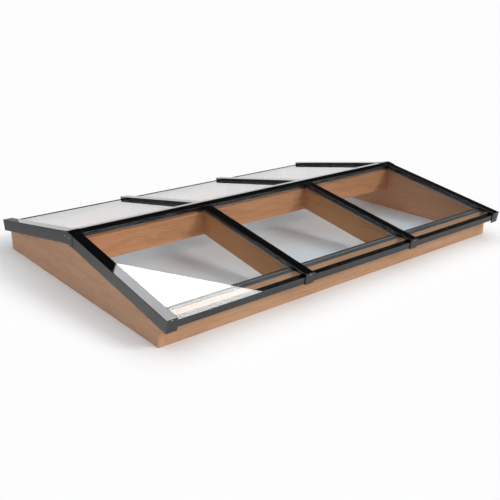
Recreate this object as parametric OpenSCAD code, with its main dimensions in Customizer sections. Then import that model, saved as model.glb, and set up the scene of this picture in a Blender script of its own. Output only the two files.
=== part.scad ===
// Fixed dual-pitch rooflight: six double glass units on a timber kerb, held by aluminium glazing bars.
// X runs along the ridge, Y across it and Z up. The origin is the middle of the kerb's underside.

/* [Kerb] */
// Outside length of the kerb, along the ridge
kerb_length = 3000; // [1800:10:4200]
// Outside width of the kerb, across the ridge
kerb_width = 2000; // [1400:10:2800]
// Height of the gable boards at the eaves
eaves_height = 167; // [140:1:260]
// Pitch of both slopes in degrees
pitch = 10; // [6:0.5:16]
// Thickness of the gable boards
gable_t = 45; // [40:1:60]
// Thickness of the eaves boards
eaves_t = 45; // [42:1:60]
// Width of the lip along the top of the eaves boards, which stops the glass units
lip_w = 16; // [10:1:18]

/* [Ridge beam and rafters] */
// Thickness of the ridge beam
beam_t = 100; // [86:1:140]
// Thickness of the rafters
rafter_t = 40; // [38:1:60]
// Height of the rafters' lower edge above the kerb's underside, at the eaves boards
rafter_foot = 10; // [0:1:60]
// Depth of the housings that take the ends of the beam and the rafters
housing = 10; // [5:1:15]

/* [Glass units] */
// Thickness of the outer panes
outer_pane_t = 6; // [4:0.5:10]
// Thickness of the inner panes
inner_pane_t = 6; // [4:0.5:10]
// Gap between the two panes of a unit
cavity = 12; // [10:1:20]
// Width of the spacer frame between the panes
spacer_w = 12; // [8:1:16]
// Width of the edge seal outside the spacer frame
edge_seal_w = 6; // [4:1:10]
// How far the outer panes run past the kerb
glass_overhang = 96; // [60:1:120]
// Distance from the middle of a bar to the glass edge
glass_edge = 8; // [7:0.5:10]
// Distance from the ridge line to the upper glass edge
glass_ridge = 20; // [18:1:22]
// Thickness of the setting blocks under the units
setting_t = 5; // [3:0.5:8]
// Length of a setting block
setting_length = 80; // [50:5:120]

/* [Bar bases] */
// Width of the base flange on the rafters
base_w = 36; // [34:1:38]
// Thickness of the base flange
base_t = 4; // [3:0.5:6]
// Reach of the ridge base down each slope
ridge_base_reach = 35; // [34:1:40]
// Width of the screw port that stands between the glass edges
port_w = 10; // [9:0.5:12]
// Width of the slot in a screw port
port_slot = 5.2; // [5.2:0.1:6]
// Thickness left under the slot
port_floor = 5; // [3:0.5:8]
// Depth of the screw ports' tops below the glass top
port_drop = 4; // [3:0.5:6]
// Height of the inner gaskets
inner_gasket_t = 3; // [2:0.5:5]
// Width of the inner gaskets
inner_gasket_w = 9; // [7:0.5:9]

/* [Pressure plates] */
// Width of a pressure plate without its rims
plate_w = 54; // [50:1:56]
// Thickness of a pressure plate
plate_t = 4; // [3.5:0.5:5]
// Width of the rims that the caps clip under
rim_w = 3; // [2:0.5:3]
// Thickness of the rims
rim_t = 1.5; // [1:0.5:2]
// Reach of the ridge pressure plate down each slope, without its rim
ridge_plate_reach = 52; // [50:1:53]
// Height of the outer gaskets
outer_gasket_t = 4; // [3:0.5:5]
// Width of the outer gaskets
outer_gasket_w = 12; // [8:1:14]
// Distance of the pressure plates' ends from the lower glass edge
plate_inset = 16; // [10:1:30]
// Largest spacing of the pressure plate screws
screw_pitch = 300; // [200:10:400]
// Distance of the outermost pressure plate screws from the plates' ends
screw_edge = 50; // [30:5:80]

/* [Caps] */
// Width of the bar caps and verge caps
cap_w = 70; // [68:1:80]
// Rise of the caps above the glass
cap_rise = 22; // [20:1:30]
// Wall thickness of the caps
cap_wall = 2.5; // [2:0.5:3]
// Radius on the long top edges of the caps
cap_round = 2; // [1:0.5:2]
// Gap between the cap legs and the glass
cap_gap = 3; // [2:0.5:4]
// Width of the clip hooks inside the cap legs
hook_w = 4.5; // [4:0.5:5]
// Thickness of the clip hooks
hook_t = 1.5; // [1:0.5:1.5]
// Wall of the screw bosses under the cap tops
boss_wall = 2.4; // [1.5:0.1:3]
// Reach of the ridge cap down each slope
ridge_cap_reach = 60; // [60:1:70]
// Depth of the verge caps' fascia legs on the gables
fascia_h = 81; // [70:1:100]
// How far the fascia legs stand out from the gable boards
fascia_stand = 9; // [7:0.5:14]

/* [Eaves and ends] */
// Depth of the eaves profiles' front legs below the glass top
eaves_leg_h = 41; // [30:1:60]
// Wall thickness of the eaves profiles
eaves_wall = 3; // [2:0.5:4]
// Height of the lips that the eaves profiles raise over the lower glass edges
eaves_lip = 4; // [2:0.5:6]
// Width of the eaves profiles' drip returns
drip_w = 12; // [8:1:20]
// Length of the eaves profiles' screws
eaves_screw_length = 30; // [20:1:45]
// Width of the bonding tape between eaves profile and glass
tape_w = 45; // [30:1:60]
// Thickness of the bonding tape
tape_t = 3; // [2:0.5:4]
// Thickness of the weather seals on the eaves lips
weather_t = 3; // [2:0.5:5]
// Thickness of the end blocks' front plates
block_plate = 6; // [6:0.5:12]
// Depth of the end blocks on the bars
block_h = 70; // [60:1:90]
// How far the end blocks stand proud of the caps
block_proud = 0.5; // [0.5:0.5:2]
// Chamfer on the end blocks' front edges
block_chamfer = 1.5; // [0.5:0.5:3]
// Length of the end blocks' plugs in the caps
plug_length = 18; // [10:1:30]
// Length of the end blocks' screws
block_screw_length = 24; // [18:1:40]
// Wall thickness of the ridge end plates
end_plate_t = 2.5; // [2:0.5:4]
// Reach of the ridge end plates down each slope
end_plate_reach = 70; // [56:1:80]
// Overlap of the ridge end plates on the ridge cap
end_plate_lap = 10; // [5:1:20]
// Distance of a ridge end plate's screws from its middle
end_screw_y = 28; // [26:1:34]
// Depth of a ridge end plate's screws below the ridge line
end_screw_drop = 34; // [32:1:38]
// Length of a ridge end plate's screws
end_screw_length = 22; // [18:1:30]

/* [Condensation channels] */
// Width of the channels along the inside of the eaves boards
channel_w = 40; // [25:1:60]
// Height of the channels' inner lips
channel_h = 17; // [10:1:25]
// Wall thickness of the channels
channel_wall = 2; // [1:0.5:3]
// Gap between the channels' lips and the glass above
channel_drop = 8; // [4:1:12]

/* [Fits] */
// Clearance in the timber housings
joint_gap = 0.2; // [0.1:0.1:0.5]
// Clearance between metal pieces that meet
metal_gap = 0.3; // [0.2:0.1:0.5]
// Gap between the lower glass edges and the eaves profiles' front legs
edge_gap = 1; // [0.5:0.5:2]
// Depth of the eaves profiles' notches below the glass top, under the caps
leg_gap = 0.5; // [0.3:0.1:1]
// Gap between the fascias' drip returns and the gable boards
drip_gap = 2; // [1:0.5:4]
// Gap at the ends of gaskets, bases and channels
end_gap = 1; // [0.5:0.5:2]

/* [Hidden] */
$fn = 32;
bays = 3;
side_names = ["front", "rear"];
end_names = ["left", "right"];
timber = [0.70, 0.50, 0.37];
anthracite = [0.20, 0.20, 0.21];
graphite = [0.29, 0.29, 0.30];
black = [0.06, 0.06, 0.06];
steel = [0.75, 0.75, 0.76];
spacer_grey = [0.66, 0.67, 0.68];
outer_glass = [0.80, 0.90, 0.92, 0.30];
inner_glass = [0.84, 0.92, 0.90, 0.30];

// Screws: diameter, head diameter and head height
plate_screw = [5, 9, 3];
end_screw = [4, 8, 2.5];
// Room in a screw's hole, over its head, past its tip and in a cap's boss
hole_room = 0.4;
head_room = 1;
tip_room = 1;
boss_room = 0.1;
// How far the end screws' heads stand out of the end blocks
head_proud = 0.5;

// Cutters run past the faces that they cut, and shapes that are joined overlap a little
cut = 1;
lap = 0.01;
// Steps in a rounded edge
arc_steps = 3;

// Heights square to the slope, counted down from the plane of the cap tops
glass_top = -cap_rise;
cavity_top = glass_top - outer_pane_t;
cavity_bottom = cavity_top - cavity;
glass_bottom = cavity_bottom - inner_pane_t;
base_top = glass_bottom - inner_gasket_t;
timber_top = base_top - base_t;
plate_bottom = glass_top + outer_gasket_t;
plate_top = plate_bottom + plate_t;
rim_bottom = plate_top - rim_t;
leg_bottom = glass_top + cap_gap;
lip_top = cavity_top - weather_t;
tape_bottom = cavity_top - tape_t;
port_top = glass_top - port_drop;
slot_bottom = base_top + port_floor;
boss_bottom = plate_top + plate_screw[2] + head_room;
boss_side = end_screw[0] / 2 + boss_room + boss_wall;
end_screw_t = (boss_bottom - cap_wall) / 2;
eaves_screw_t = (port_top + slot_bottom) / 2;

// Places across the ridge and along the bars
half_length = kerb_length / 2;
half_width = kerb_width / 2;
gable_in = half_length - gable_t;
eaves_in = half_width - eaves_t;
beam_half = beam_t / 2;
apex_z = eaves_height + half_width * tan(pitch) - timber_top / cos(pitch);
bay_pitch = (kerb_length + 2 * fascia_stand - cap_w) / bays;
lip_wall = reach(half_width, lip_top) - lip_w;
seal_end = lip_wall - setting_t - joint_gap;
glass_end = reach(half_width + glass_overhang, glass_top);
leg_back = glass_end + edge_gap;
leg_front = leg_back + eaves_wall;
plate_back = leg_front + metal_gap;
bar_end = plate_back + block_plate;
cap_end = plate_back - metal_gap;
plate_end = glass_end - plate_inset;
head_seat = bar_end - end_screw[2] + head_proud;
bar_start = ridge_cap_reach + metal_gap;
base_start = ridge_base_reach + end_gap;
ridge_half = bay_pitch * bays / 2 - cap_w / 2 - metal_gap;
// Grooves for the gaskets' feet, and the feet's clearance
groove_w = 4;
groove_t = 2;
foot_gap = 0.2;

// Distance down the slope of a point that is y out from the ridge, at height t
function reach(y, t) = (y - t * sin(pitch)) / cos(pitch);

// Level of the plane at height t, at distance y out from the ridge
function level(y, t) = apex_z - y * tan(pitch) + t / cos(pitch);

// Point of the front slope's section at distance s down the slope and height t, as [Y, Z]
function at(s, t) = [-s * cos(pitch) - t * sin(pitch), apex_z - s * sin(pitch) + t * cos(pitch)];

// Point where the planes at height t meet over the ridge
function crest(t) = [0, apex_z + t / cos(pitch)];

// The same section point on the rear slope
function across(p) = [-p[0], p[1]];

// Middle of bar i along the ridge
function bar_x(i) = (i - bays / 2) * bay_pitch;

// Lower edge of the rafters at distance y out from the ridge
function rafter_under(y) = rafter_foot + (eaves_in - y) * tan(pitch);

// Number of equal steps no longer than the screw pitch
function steps(span) = ceil(span / screw_pitch);

// The first and last bars are the verge bars
function is_verge(i) = i == 0 || i == bays;

// Glazing bars begin at the ridge cap, verge bars at the upper glass edge
function plate_start(i) = is_verge(i) ? glass_ridge : bar_start;

// Puts children on a slope: X along the ridge, Y up the slope to the ridge line, Z square to the glass
module slope(side) {
    if (side == "rear") mirror([0, 1, 0]) tilted() children();
    else tilted() children();
}

module tilted() {
    translate([0, 0, apex_z]) rotate([pitch, 0, 0]) children();
}

module both_slopes() {
    for (side = side_names) slope(side) children();
}

// Puts children at the left or right end, mirrored so that the outside is always on the left
module at_end(end) {
    if (end == "right") mirror([1, 0, 0]) children();
    else children();
}

// Extrudes a section drawn as [X, height] down the slope from s0 to s1
module down_slope(s0, s1) {
    translate([0, -s0, 0]) rotate([90, 0, 0]) linear_extrude(s1 - s0) children();
}

// Extrudes a section drawn as [Y, Z] along the ridge from x0 to x1
module along_ridge(x0, x1) {
    translate([x0, 0, 0]) rotate([90, 0, 90]) linear_extrude(x1 - x0) children();
}

// Box on a slope between two X values, two distances down the slope and two heights
module slab(x0, x1, s0, s1, t0, t1) {
    translate([x0, -s1, t0]) cube([x1 - x0, s1 - s0, t1 - t0]);
}

// Round bar along the slope's fall, from s0 to s1 at height t
module fall_rod(s0, s1, t, d) {
    translate([0, -s0, t]) rotate([90, 0, 0]) cylinder(h = s1 - s0, d = d);
}

// Section over both slopes, drawn from the points of its front half
module over_ridge(half) {
    polygon(concat(half, [for (k = [len(half) - 1:-1:0]) if (half[k][0] != 0) across(half[k])]));
}

// Plain bent section between two heights, out to distance s
module chevron(s, t0, t1) {
    over_ridge([crest(t1), at(s, t1), at(s, t0), crest(t0)]);
}

// Rectangle between two corners
module patch(x0, x1, y0, y1) {
    translate([x0, y0]) square([x1 - x0, y1 - y0]);
}

// Places of a bar's pressure plate screws, as children set on the bar
module plate_screw_places(i) {
    first = plate_start(i) + screw_edge;
    span = plate_end - screw_edge - first;
    for (k = [0:steps(span)]) translate([0, -first - k * span / steps(span), 0]) children();
}

// Places of the ridge pressure plate's screws along the ridge line
module ridge_screw_places() {
    span = 2 * (ridge_half - screw_edge);
    for (k = [0:steps(span)]) translate([-span / 2 + k * span / steps(span), 0, 0]) children();
}

// Pan-head screw with its head on top of the origin and its shank downwards
module screw(kind, length) {
    translate([0, 0, -length]) cylinder(h = length, d = kind[0]);
    cylinder(h = kind[2], d = kind[1]);
}

// House-shaped gable board with a housing for the ridge beam
module gable_board(end) {
    color(timber) at_end(end) difference() {
        along_ridge(-half_length, -gable_in) polygon([
            [-half_width, 0], [half_width, 0], [half_width, eaves_height],
            [0, eaves_height + half_width * tan(pitch)], [-half_width, eaves_height]]);
        along_ridge(-gable_in - housing, -gable_in + cut) beam_section(joint_gap);
    }
}

// Eaves board with the rebate and lip for the units, cut for the bars and the rafters
module eaves_board(side) {
    color(timber) mirror([0, side == "rear" ? 1 : 0, 0]) difference() {
        along_ridge(-gable_in, gable_in) polygon([
            [-half_width, 0], [-eaves_in, 0], [-eaves_in, level(eaves_in, base_top)],
            at(lip_wall, base_top), at(lip_wall, lip_top), [-half_width, level(half_width, lip_top)]]);
        for (i = [1:bays - 1]) translate([bar_x(i), 0, 0]) {
            rafter_body(joint_gap);
            tilted() {
                slab(-base_w / 2 - metal_gap, base_w / 2 + metal_gap,
                    lip_wall - 2 * eaves_t, lip_wall, timber_top, 0);
                slab(-port_w / 2 - metal_gap, port_w / 2 + metal_gap,
                    lip_wall - cut, lip_wall + 2 * lip_w, timber_top, 0);
            }
        }
    }
}

// Section of the ridge beam, with room all round for a housing
module beam_section(room) {
    y = beam_half + room;
    under = rafter_under(beam_half) - room;
    polygon([[-y, under], [y, under], [y, level(y, timber_top) + room],
        crest(timber_top) + [0, room], [-y, level(y, timber_top) + room]]);
}

// Ridge beam with housings for the rafters
module ridge_beam() {
    end = gable_in + housing - joint_gap;
    color(timber) difference() {
        along_ridge(-end, end) beam_section(0);
        for (i = [1:bays - 1], flip = [0, 1]) {
            mirror([0, flip, 0]) translate([bar_x(i), 0, 0]) rafter_body(joint_gap);
        }
    }
}

// Front rafter on the YZ plane, with room all round for its housings
module rafter_body(room) {
    y0 = beam_half - housing + joint_gap - room;
    y1 = eaves_in + housing - joint_gap + room;
    along_ridge(-rafter_t / 2 - room, rafter_t / 2 + room) polygon([
        [-y0, level(y0, timber_top) + room], [-y1, level(y1, timber_top) + room],
        [-y1, rafter_under(y1) - room], [-y0, rafter_under(y0) - room]]);
}

module rafter(side, end) {
    flip = side == "rear" ? 1 : 0;
    x = end == "left" ? bar_x(1) : bar_x(bays - 1);
    color(timber) mirror([0, flip, 0]) translate([x, 0, 0]) rafter_body(0);
}

// Section of a bar base: flange with gasket grooves, and the screw port
module base_flange_section() {
    difference() {
        patch(-base_w / 2, base_w / 2, timber_top, base_top);
        for (m = [-1, 1]) translate([m * inner_gasket_x(), 0]) groove(base_top - groove_t);
    }
}

module port_section() {
    difference() {
        patch(-port_w / 2, port_w / 2, base_top, port_top);
        patch(-port_slot / 2, port_slot / 2, slot_bottom, port_top + cut);
    }
}

// Middle of the inner and outer gaskets, out from the middle of the bar
function inner_gasket_x() = base_w / 2 - inner_gasket_w / 2;
function outer_gasket_x() = plate_w / 2 - outer_gasket_w / 2;

// Groove for a gasket's foot, open on one side
module groove(t) {
    patch(-groove_w / 2, groove_w / 2, t, t + groove_t + lap);
}

// Section of a gasket with its foot in the groove, foot downwards
module gasket_section(w, h) {
    patch(-w / 2, w / 2, 0, h);
    patch(-groove_w / 2 + foot_gap, groove_w / 2 - foot_gap, -groove_t + foot_gap, lap);
}

// Bar bases: the flange stops at the eaves lip, the screw port runs on to the eaves profile
module bar_bases() {
    color(graphite) both_slopes() for (i = [0:bays]) translate([bar_x(i), 0, 0]) {
        down_slope(base_start, lip_wall - metal_gap) base_flange_section();
        down_slope(base_start, leg_back - metal_gap) port_section();
    }
}

// Ridge base: bent flange over the ridge beam with a screw port on top
module ridge_base() {
    head = crest(port_top)[1];
    slot = crest(slot_bottom);
    color(graphite) along_ridge(-gable_in, gable_in) over_ridge([
        slot, [-port_slot / 2, slot[1]], [-port_slot / 2, head], [-port_w / 2, head],
        [-port_w / 2, level(port_w / 2, base_top)], at(ridge_base_reach, base_top),
        at(ridge_base_reach, timber_top), crest(timber_top)]);
}

// Section of a bar's pressure plate, with rims for the cap and grooves for the outer gaskets
module plate_section() {
    difference() {
        union() {
            patch(-plate_w / 2, plate_w / 2, plate_bottom, plate_top);
            patch(-plate_w / 2 - rim_w, plate_w / 2 + rim_w, rim_bottom, plate_top);
        }
        for (m = [-1, 1]) translate([m * outer_gasket_x(), 0]) groove(plate_bottom - lap);
    }
}

module bar_pressure_plates() {
    color(graphite) both_slopes() for (i = [0:bays]) translate([bar_x(i), 0, 0]) difference() {
        down_slope(plate_start(i), plate_end) plate_section();
        plate_screw_places(i) translate([0, 0, plate_bottom - cut]) {
            cylinder(h = plate_t + 2 * cut, d = plate_screw[0] + hole_room);
        }
    }
}

// Ridge pressure plate, bent over both slopes
module ridge_pressure_plate() {
    color(graphite) difference() {
        along_ridge(-ridge_half, ridge_half) over_ridge([
            crest(plate_top), at(ridge_plate_reach + rim_w, plate_top),
            at(ridge_plate_reach + rim_w, rim_bottom), at(ridge_plate_reach, rim_bottom),
            at(ridge_plate_reach, plate_bottom), crest(plate_bottom)]);
        ridge_screw_places() translate([0, 0, crest(plate_bottom)[1] - plate_t]) {
            cylinder(h = 3 * plate_t, d = plate_screw[0] + hole_room);
        }
    }
}

// Quarter round from angle a to a + 90, as points
function quarter(x, y, r, a) = [for (k = [0:arc_steps]) spoke(x, y, r, a + 90 * k / arc_steps)];
function spoke(x, y, r, a) = [x + r * cos(a), y + r * sin(a)];

// Section of a bar cap: rounded top, clip hooks on both legs and a screw boss under the top
module cap_section() {
    half = cap_w / 2;
    inner = half - cap_wall;
    hook_top = rim_bottom - metal_gap;
    difference() {
        polygon(concat(
            [[half, leg_bottom]],
            quarter(half - cap_round, -cap_round, cap_round, 0),
            quarter(-half + cap_round, -cap_round, cap_round, 90),
            [[-half, leg_bottom]]));
        patch(-inner, inner, leg_bottom - cut, -cap_wall);
    }
    for (m = [0, 1]) mirror([m, 0]) {
        patch(inner - hook_w, inner + lap, hook_top - hook_t, hook_top);
        patch(boss_side - boss_wall, boss_side, boss_bottom, -cap_wall + lap);
    }
}

// Section of a verge cap: a bar cap whose left leg runs down as a fascia with a drip return
module verge_cap_section() {
    cap_section();
    patch(-cap_w / 2, -cap_w / 2 + cap_wall, -fascia_h, leg_bottom + lap);
    patch(-cap_w / 2, -cap_w / 2 + fascia_stand - drip_gap, -fascia_h, -fascia_h + cap_wall);
}

module bar_cap(side, end) {
    x = end == "left" ? bar_x(1) : bar_x(bays - 1);
    color(anthracite) slope(side) translate([x, 0, 0]) down_slope(bar_start, cap_end) cap_section();
}

// Verge cap, mitred at the ridge and drilled for the ridge end plate's screw
module verge_cap(side, end) {
    color(anthracite) mirror([0, side == "rear" ? 1 : 0, 0]) at_end(end) difference() {
        tilted() translate([bar_x(0), 0, 0]) down_slope(0, cap_end) verge_cap_section();
        translate([-2 * kerb_length, -metal_gap / 2, 0]) cube([4 * kerb_length, kerb_width, 2 * apex_z]);
        ridge_end_screw_axis(-end_screw_y) cylinder(h = fascia_stand, d = end_screw[0] + hole_room);
    }
}

// Frame on a ridge end plate's screw axis: origin on the fascia's outside, Z towards the kerb
module ridge_end_screw_axis(y) {
    translate([-half_length - fascia_stand, y, apex_z - end_screw_drop]) rotate([0, 90, 0]) {
        translate([0, 0, -cut]) children();
    }
}

// Ridge cap: bent top with legs and clip hooks on both slopes
module ridge_cap() {
    far = ridge_cap_reach;
    near = far - cap_wall;
    hook_top = rim_bottom - metal_gap;
    color(anthracite) along_ridge(-ridge_half, ridge_half) over_ridge([
        crest(0), at(far, 0), at(far, leg_bottom), at(near, leg_bottom),
        at(near, hook_top - hook_t), at(near - hook_w, hook_top - hook_t),
        at(near - hook_w, hook_top), at(near, hook_top), at(near, -cap_wall), crest(-cap_wall)]);
}

// End block: chamfered front plate over the bar's end, with plugs on both sides of the cap's screw boss
module end_block(side, i) {
    half = cap_w / 2 + block_proud;
    depth = is_verge(i) ? fascia_h + block_proud : block_h;
    pocket = leg_front + plate_screw[2] + head_room;
    color(graphite) slope(side) translate([bar_x(i), 0, 0]) difference() {
        union() {
            block_plate_form(half, depth);
            for (m = [0, 1]) mirror([m, 0, 0]) {
                slab(boss_side + metal_gap, cap_w / 2 - cap_wall - metal_gap,
                    plate_back - plug_length, plate_back + lap, boss_bottom, -cap_wall - metal_gap);
            }
        }
        fall_rod(plate_back - cut, bar_end + cut, end_screw_t, end_screw[0] + hole_room);
        fall_rod(head_seat, bar_end + cut, end_screw_t, end_screw[1] + hole_room);
        fall_rod(plate_back - cut, pocket, eaves_screw_t, plate_screw[1] + head_room);
    }
}

// Front plate with all four front edges chamfered
module block_plate_form(half, depth) {
    c = block_chamfer;
    intersection() {
        along_ridge(-half, half) polygon([
            [-plate_back, block_proud], [-plate_back, -depth], [-bar_end + c, -depth],
            [-bar_end, -depth + c], [-bar_end, block_proud - c], [-bar_end + c, block_proud]]);
        translate([0, 0, -depth]) linear_extrude(depth + block_proud) polygon([
            [-half, -plate_back], [half, -plate_back], [half, -bar_end + c],
            [half - c, -bar_end], [-half + c, -bar_end], [-half, -bar_end + c]]);
    }
}

// Ridge end plate: saddle over the verge mitre with a face on the gable
module ridge_end_plate(end) {
    face = -half_length - fascia_stand - metal_gap;
    top = metal_gap + end_plate_t;
    color(graphite) at_end(end) difference() {
        union() {
            along_ridge(face - end_plate_t, -ridge_half) chevron(end_plate_reach, metal_gap, top);
            along_ridge(face, -ridge_half + end_plate_lap) chevron(ridge_cap_reach, metal_gap, top);
            along_ridge(face - end_plate_t, face) chevron(end_plate_reach, -fascia_h - block_proud, top);
        }
        for (y = [-end_screw_y, end_screw_y]) ridge_end_screw_axis(y) {
            translate([0, 0, -2 * end_plate_t]) cylinder(h = 4 * end_plate_t, d = end_screw[0] + hole_room);
        }
    }
}

// Eaves profile: bonding flange, front leg and drip return, notched for the caps and the screw ports
module eaves_profile(side) {
    end = bar_x(bays) + cap_w / 2 - cap_wall - 2 * metal_gap;
    under_cap = cap_w / 2 + metal_gap;
    flange = glass_end - tape_w;
    leg_top = glass_top + eaves_lip;
    bottom = glass_top - eaves_leg_h;
    drip = leg_front - drip_w;
    color(graphite) slope(side) difference() {
        along_ridge(-end, end) polygon([
            [-flange, tape_bottom], [-leg_back, tape_bottom], [-leg_back, leg_top], [-leg_front, leg_top],
            [-leg_front, bottom], [-drip, bottom], [-drip, bottom + eaves_wall],
            [-leg_back, bottom + eaves_wall],
            [-leg_back, tape_bottom - eaves_wall], [-flange, tape_bottom - eaves_wall]]);
        for (i = [0:bays]) translate([bar_x(i), 0, 0]) {
            slab(-under_cap, under_cap, leg_back - cut, leg_front + cut, glass_top - leg_gap, 0);
            slab(-port_w / 2 - metal_gap, port_w / 2 + metal_gap, flange - cut, leg_back, base_top, 0);
            fall_rod(leg_back - cut, leg_front + cut, eaves_screw_t, plate_screw[0] + hole_room);
        }
    }
}

// Sides of the unit in bay i, set in from the glass edge
function unit_left(i, inset) = bar_x(i) + glass_edge + inset;
function unit_right(i, inset) = bar_x(i + 1) - glass_edge - inset;

module outer_pane(side, i) {
    color(outer_glass) slope(side) {
        slab(unit_left(i, 0), unit_right(i, 0), glass_ridge, glass_end, cavity_top, glass_top);
    }
}

module inner_pane(side, i) {
    color(inner_glass) slope(side) {
        slab(unit_left(i, 0), unit_right(i, 0), glass_ridge, seal_end, glass_bottom, cavity_bottom);
    }
}

// Ring in the cavity of unit i, of width w, set in from the sealed edge
module unit_ring(i, inset, w) {
    difference() {
        slab(unit_left(i, inset), unit_right(i, inset),
            glass_ridge + inset, seal_end - inset, cavity_bottom, cavity_top);
        slab(unit_left(i, inset + w), unit_right(i, inset + w),
            glass_ridge + inset + w, seal_end - inset - w, cavity_bottom - cut, cavity_top + cut);
    }
}

module spacer_frames() {
    color(spacer_grey) both_slopes() for (i = [0:bays - 1]) unit_ring(i, edge_seal_w, spacer_w);
}

module unit_edge_seals() {
    color(black) both_slopes() for (i = [0:bays - 1]) unit_ring(i, 0, edge_seal_w);
}

// Inner gaskets on the bar bases, on the ridge base and on the eaves rebates
module inner_gaskets() {
    ridge_edge = ridge_base_reach - end_gap;
    w = min(inner_gasket_w, seal_end - reach(eaves_in, base_top));
    color(black) both_slopes() {
        for (i = [0:bays], m = [-1, 1]) translate([bar_x(i) + m * inner_gasket_x(), 0, base_top]) {
            down_slope(base_start, seal_end) gasket_section(inner_gasket_w, inner_gasket_t);
        }
        slab(-gable_in, gable_in, ridge_edge - inner_gasket_w, ridge_edge, base_top, glass_bottom);
        for (i = [0:bays - 1]) slab(eaves_gasket_left(i), eaves_gasket_right(i),
            seal_end - w, seal_end, base_top, glass_bottom);
    }
}

// Eaves gaskets fill the bays between the bar bases and the gable boards
function eaves_gasket_left(i) = max(-gable_in, bar_x(i) + base_w / 2) + end_gap;
function eaves_gasket_right(i) = min(gable_in, bar_x(i + 1) - base_w / 2) - end_gap;

// Outer gaskets under the pressure plates
module outer_gaskets() {
    ridge_far = ridge_plate_reach;
    color(black) both_slopes() {
        for (i = [0:bays], m = [-1, 1]) translate([bar_x(i) + m * outer_gasket_x(), 0, plate_bottom]) {
            down_slope(plate_start(i), plate_end) mirror([0, 1]) {
                gasket_section(outer_gasket_w, outer_gasket_t);
            }
        }
        slab(-ridge_half, ridge_half, ridge_far - outer_gasket_w, ridge_far, glass_top, plate_bottom);
    }
}

// Black bonding tape between the eaves profiles and the outer panes
module bonding_tapes() {
    color(black) both_slopes() for (i = [0:bays - 1]) {
        slab(unit_left(i, 0), unit_right(i, 0), glass_end - tape_w, glass_end, tape_bottom, cavity_top);
    }
}

// Weather seals between the eaves lips and the outer panes
module weather_seals() {
    color(black) both_slopes() for (i = [0:bays - 1]) {
        slab(max(-gable_in, unit_left(i, 0)), min(gable_in, unit_right(i, 0)),
            lip_wall, lip_wall + lip_w, lip_top, cavity_top);
    }
}

// Packers that stand in for the glass on the outside of the verge bars
module verge_packers() {
    lower = glass_end - tape_w - end_gap;
    color(black) both_slopes() for (end = end_names) at_end(end) difference() {
        slab(-half_length, bar_x(0) - glass_edge, glass_ridge, lower, glass_bottom, glass_top);
        rotate([-pitch, 0, 0]) translate([0, 0, -apex_z]) ridge_end_screw_axis(-end_screw_y) {
            cylinder(h = end_screw_length + tip_room, d = end_screw[0] + hole_room / 2);
        }
    }
}

// Setting blocks at the quarter points under each unit
module setting_blocks() {
    color(black) both_slopes() for (i = [0:bays - 1], q = [0.25, 0.75]) {
        x = unit_left(i, 0) * (1 - q) + unit_right(i, 0) * q;
        slab(x - setting_length / 2, x + setting_length / 2,
            seal_end + joint_gap / 2, lip_wall - joint_gap / 2, base_top, lip_top);
    }
}

// Condensation channels inside the eaves boards, between gables and rafters
module condensation_channels() {
    lip_y = eaves_in - channel_w;
    top = level(lip_y, glass_bottom) - channel_drop;
    floor_z = top - channel_h;
    back_top = level(eaves_in, base_top) - end_gap;
    room = rafter_t / 2 + metal_gap;
    wall = gable_in - metal_gap;
    color(graphite) for (flip = [0, 1], i = [0:bays - 1]) mirror([0, flip, 0]) {
        along_ridge(max(-wall, bar_x(i) + room), min(wall, bar_x(i + 1) - room)) {
            patch(-eaves_in, -lip_y, floor_z, floor_z + channel_wall);
            patch(-eaves_in, -eaves_in + channel_wall, floor_z, back_top);
            patch(-lip_y - channel_wall, -lip_y, floor_z, top);
        }
    }
}

module pressure_plate_screws() {
    length = plate_top - slot_bottom - tip_room;
    color(steel) {
        both_slopes() for (i = [0:bays]) translate([bar_x(i), 0, plate_top]) {
            plate_screw_places(i) screw(plate_screw, length);
        }
        ridge_screw_places() translate([0, 0, crest(plate_top)[1]]) screw(plate_screw, length);
    }
}

// Screws through the end blocks into the caps' screw bosses
module end_block_screws() {
    color(steel) both_slopes() for (i = [0:bays]) {
        translate([bar_x(i), -head_seat, end_screw_t]) rotate([90, 0, 0]) {
            screw(end_screw, block_screw_length);
        }
    }
}

// Screws through the eaves profiles into the bar bases' screw ports
module eaves_profile_screws() {
    color(steel) both_slopes() for (i = [0:bays]) {
        translate([bar_x(i), -leg_front, eaves_screw_t]) rotate([90, 0, 0]) {
            screw(plate_screw, eaves_screw_length);
        }
    }
}

// Screws through the ridge end plates and fascias into the packers
module ridge_end_screws() {
    color(steel) for (end = end_names, y = [-end_screw_y, end_screw_y]) at_end(end) {
        ridge_end_screw_axis(y) translate([0, 0, cut - metal_gap - end_plate_t]) {
            mirror([0, 0, 1]) screw(end_screw, end_screw_length);
        }
    }
}

for (e = end_names) {
    gable_board(e);
    ridge_end_plate(e);
}
for (s = side_names) {
    eaves_board(s);
    eaves_profile(s);
}
for (s = side_names, e = end_names) {
    rafter(s, e);
    bar_cap(s, e);
    verge_cap(s, e);
}
for (s = side_names, i = [0:bays]) {
    end_block(s, i);
}
for (s = side_names, i = [0:bays - 1]) {
    inner_pane(s, i);
    outer_pane(s, i);
}
ridge_beam();
ridge_base();
bar_bases();
ridge_pressure_plate();
bar_pressure_plates();
ridge_cap();
spacer_frames();
unit_edge_seals();
inner_gaskets();
outer_gaskets();
bonding_tapes();
weather_seals();
verge_packers();
setting_blocks();
condensation_channels();
pressure_plate_screws();
end_block_screws();
eaves_profile_screws();
ridge_end_screws();
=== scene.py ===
"""Looks of a fixed dual-pitch rooflight: timber kerb, coated glazing bars and double glass units."""

import logging
import math
from dataclasses import dataclass
from enum import Enum

import bmesh
import bpy
from mathutils import Matrix, Vector


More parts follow.
